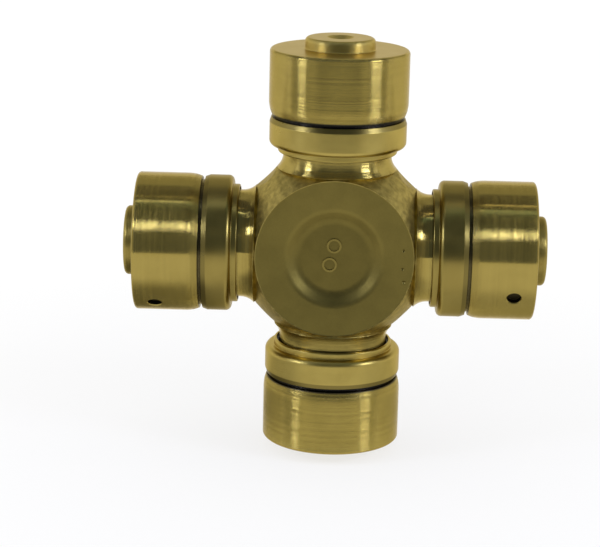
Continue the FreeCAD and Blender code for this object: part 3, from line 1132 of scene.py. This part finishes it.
def glowing_sheet(
    name: str,
    rows: Sequence[Sequence[Sequence[float]]],
    radiance: Colour,
    fades: Fades,
    lights: bool,
) -> bpy.types.Object:
    """Sheet with a glow that no camera sees.

    Args:
        name: Name of the sheet.
        rows: Pairs of points along the sheet.
        radiance: Light that leaves it, for red, green and blue.
        fades: Shares over which it dies away at the first and last row, foot and head.
        lights: True if it also lights the object and the floor.

    Returns:
        The sheet.
    """
    points = [point for row in rows for point in row]
    count = len(rows) - 1
    faces = [(2 * i, 2 * i + 1, 2 * i + 3, 2 * i + 2) for i in range(count)]
    mesh = bpy.data.meshes.new(name)
    mesh.from_pydata(points, [], faces)
    places = mesh.uv_layers.new(name="place")
    for loop in mesh.loops:
        places.data[loop.index].uv = (loop.vertex_index // 2 / count, loop.vertex_index % 2)
    material = bpy.data.materials.new(name)
    tree = ShaderTree(material)
    strength = max(radiance)
    tint = tuple(part / strength for part in radiance)
    glow = tree.node("ShaderNodeEmission", {}, {"Color": (*tint, 1.0), "Strength": strength})
    held = faded(tree, fades)
    if held is not None:
        clear = tree.node("ShaderNodeBsdfTransparent")
        glow = tree.node("ShaderNodeMixShader", {}, {0: held, 1: clear.outputs[0], 2: glow.outputs[0]})
    tree.node("ShaderNodeOutputMaterial", {}, {"Surface": glow.outputs[0]})
    if not lights:
        material.cycles.emission_sampling = "NONE"
    mesh.materials.append(material)
    sheet = bpy.data.objects.new(name, mesh)
    bpy.context.scene.collection.objects.link(sheet)
    sheet.visible_camera = False
    sheet.visible_shadow = False
    sheet.visible_diffuse = lights
    return sheet


@dataclass
class Studio:
    """Pale floor, white surroundings, light boxes, and the cards and windows between them.

    Lengths in metres. The floor's own picture in polished metal carries a painted shadow beside
    the body, under the level cups.
    """

    floor_level: float
    ambient: float = 0.8
    floor_half: float = 6.0
    floor_paint: Colour = (0.9, 0.885, 0.86)
    open_floor: Colour = (1.0, 1.0, 0.98)
    # Painted shadow in the floor's picture in polished metal, darker on the left.
    shaded_left: Colour = (0.26, 0.26, 0.25)
    shaded_right: Colour = (0.6, 0.6, 0.58)
    dark: Colour = (0.12, 0.14, 0.17)
    dusk: Colour = (0.4, 0.42, 0.46)
    box: Colour = (16.0, 17.2, 22.5)
    far_box: Colour = (2.0, 2.1, 2.6)
    box_distance: float = 0.62
    far_distance: float = 0.64
    card_distance: float = 0.68
    front_distance: float = 0.66
    window_distance: float = 0.75
    canopy_distance: float = 0.76
    canopy_half: float = 1.1
    rear_half: float = 0.65
    window_half: float = 0.8

    def world(self) -> None:
        """White surroundings for the camera and for reflections, plain soft light for the rest."""
        world = bpy.data.worlds.new("studio")
        bpy.context.scene.world = world
        tree = ShaderTree(world)
        path = tree.node("ShaderNodeLightPath").outputs
        seen = Value(tree, path["Is Camera Ray"]) + Value(tree, path["Is Glossy Ray"])
        seen = (seen + Value(tree, path["Is Transmission Ray"])).smaller(1.0)
        strength = seen * (1.0 - self.ambient) + self.ambient
        glow = tree.node("ShaderNodeBackground", {}, {"Color": (1.0, 1.0, 1.0, 1.0), "Strength": strength})
        tree.node("ShaderNodeOutputWorld", {}, {"Surface": glow.outputs[0]})

    def floor(self) -> bpy.types.Object:
        """Wide pale floor that keeps the object's shadow."""
        half = self.floor_half
        corners = [(-half, -half), (half, -half), (half, half), (-half, half)]
        mesh = bpy.data.meshes.new("floor")
        mesh.from_pydata([(x, y, self.floor_level) for x, y in corners], [], [(0, 1, 2, 3)])
        material = bpy.data.materials.new("pale_floor")
        tree = ShaderTree(material)
        path = tree.node("ShaderNodeLightPath").outputs
        _, x, y, _ = tree.place()
        away = tree.length(x, y).ramp(0.12, 0.4, 0.72, 1.0)
        paint = tree.node("ShaderNodeBsdfDiffuse", {}, {"Color": (*self.floor_paint, 1.0)})
        glow = tree.node("ShaderNodeEmission", {}, {"Color": (1.0, 1.0, 1.0, 1.0), "Strength": 1.02})
        # Painted shadow in the floor's picture in polished metal: darker beside the body under the level
        # cups, darkest on the left.
        shaded = tree.blend(x.ramp(-0.07, 0.07), self.shaded_left, self.shaded_right)
        beside = abs(x).ramp(0.03, 0.06) * abs(x).ramp(0.13, 0.18, 1.0, 0.0)
        painted_shadow = beside * abs(y).ramp(0.035, 0.09, 1.0, 0.0)
        image = tree.node("ShaderNodeEmission", {}, {"Color": tree.blend(painted_shadow, self.open_floor, shaded)})
        seen = Value(tree, path["Is Camera Ray"]) * away
        mixed = tree.node("ShaderNodeMixShader", {}, {0: seen, 1: paint.outputs[0], 2: glow.outputs[0]})
        both = tree.node("ShaderNodeMixShader", {},
                         {0: path["Is Glossy Ray"], 1: mixed.outputs[0], 2: image.outputs[0]})
        tree.node("ShaderNodeOutputMaterial", {}, {"Surface": both.outputs[0]})
        mesh.materials.append(material)
        floor = bpy.data.objects.new("floor", mesh)
        bpy.context.scene.collection.objects.link(floor)
        return floor

    def lamps(self) -> None:
        """Light boxes beside the object, dark cards in front of it and above it, and thin windows."""
        low = self.floor_level + 0.002
        soft = (0.3, 0.3, 0.25, 0.05)
        height = (0.21, 0.36)
        Panel("box_left", self.box, (-54.0, -73.0), height, self.box_distance, soft).build(True)
        Panel("box_right", self.box, (51.0, 76.0), height, self.box_distance, soft).build(True)
        for side, name in ((-1.0, "left"), (1.0, "right")):
            azimuth = (side * 82.0, side * 98.0)
            Panel("far_box_" + name, self.far_box, azimuth, (0.2, 0.365), self.far_distance, soft).build(True)
            azimuth = (side * 40.0, side * 88.0)
            fades = (0.2, 0.2, 0.0, 0.1)
            Panel("side_card_" + name, self.dusk, azimuth, (low, 0.5), self.card_distance, fades).build(False)
        fades = (0.25, 0.25, 0.0, 0.0)
        Panel("front_card", self.dark, (-56.0, 56.0), (low, 0.36), self.front_distance, fades).build(False)
        wide, rear, window = self.canopy_half, self.rear_half, self.window_half
        for name, radiance, elevation, left, right in (
            ("front_canopy", self.dark, (30.0, 75.0), -wide, wide),
            ("front_canopy_head", self.dark, (82.5, 90.5), -wide, wide),
            ("gap_card", self.dark, (75.0, 82.5), -wide, 0.0),
            ("top_canopy", (0.15, 0.155, 0.18), (90.5, 118.0), -wide, wide),
            ("rear_canopy", (0.5, 0.5, 0.48), (118.0, 152.0), -rear, rear),
        ):
            Canopy(name, radiance, elevation, left, right, self.canopy_distance).build(False)
        for name, radiance, elevation, left, right in (
            ("left_window", (2.8, 3.0, 3.5), (79.5, 82.5), -window, 0.0),
            ("cool_window", (0.4, 0.6, 0.7), (75.0, 82.5), 0.0, window),
            ("warm_window", (2.8, 2.6, 2.4), (90.5, 92.7), 0.0, window),
        ):
            Canopy(name, radiance, elevation, left, right, self.window_distance).build(True)

    def camera(self) -> bpy.types.Object:
        """Camera at the photograph's place."""
        distance, elevation, yaw, roll = 0.890, math.radians(14.62), math.radians(-1.17), math.radians(1.32)
        right_shift, up_shift = 14.48 * MM, 11.69 * MM
        lens, sensor = 128.92, 36.0
        right = Vector((1.0, 0.0, 0.0))
        up = Vector((0.0, math.sin(elevation), math.cos(elevation)))
        ahead = Vector((0.0, math.cos(elevation), -math.sin(elevation)))
        side = -math.cos(roll) * right_shift + math.sin(roll) * up_shift
        rise = -math.sin(roll) * right_shift - math.cos(roll) * up_shift
        place = side * right + rise * up - distance * ahead
        x_axis = math.cos(roll) * right + math.sin(roll) * up
        y_axis = -math.sin(roll) * right + math.cos(roll) * up
        frame = Matrix((x_axis, y_axis, -ahead)).transposed().to_4x4()
        data = bpy.data.cameras.new("camera")
        data.lens = lens
        data.sensor_width = sensor
        data.sensor_fit = "HORIZONTAL"
        camera = bpy.data.objects.new("camera", data)
        camera.matrix_world = Matrix.Rotation(-yaw, 4, "Z") @ Matrix.Translation(place) @ frame
        bpy.context.scene.collection.objects.link(camera)
        bpy.context.scene.camera = camera
        return camera


def main() -> None:
    """Build every piece round the frame, dress it and light it."""
    logging.basicConfig(level=logging.INFO, format="%(name)s: %(message)s")
    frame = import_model()
    nodes = frame["nodes"]
    ground = {level: GroundSteel(level=level).build() for level in (False, True)}
    sheet = {level: SheetSteel(level=level).build() for level in (False, True)}
    polished = PolishedSteel().build()
    rubber = Moulded("seal_rubber", (0.03, 0.03, 0.03), (0.015, 0.015, 0.015), 0.55).build()
    retainer = Moulded("retainer_plastic", (0.1, 0.1, 0.1), (0.07, 0.07, 0.07), 0.45).build()
    washer = Moulded("washer_plastic", (0.8, 0.76, 0.64), (0.74, 0.69, 0.56), 0.4).build()
    lathe = Lathe()
    ring = NeedleRing()
    for arm in Arm:
        BearingCup(arm).build(lathe, ground[arm.level])
        SealCan(arm).build(lathe, sheet[arm.level])
        Seal(arm).build(lathe, rubber)
        Needles(arm).build(lathe, ring, polished)
        for kept, material in (("needle_retainer_", retainer), ("thrust_washer_", washer)):
            node = nodes[kept + arm.label]
            node.data.materials.clear()
            node.data.materials.append(material)
    CrossSkin().build(nodes["cross"], ForgedSteel().build())
    studio = Studio(floor_level=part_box("bearing_cup_bottom")[0].z)
    studio.world()
    studio.floor()
    studio.lamps()
    studio.camera()
    bpy.context.scene.view_settings.view_transform = "Standard"


if __name__ == "__main__":
    main()
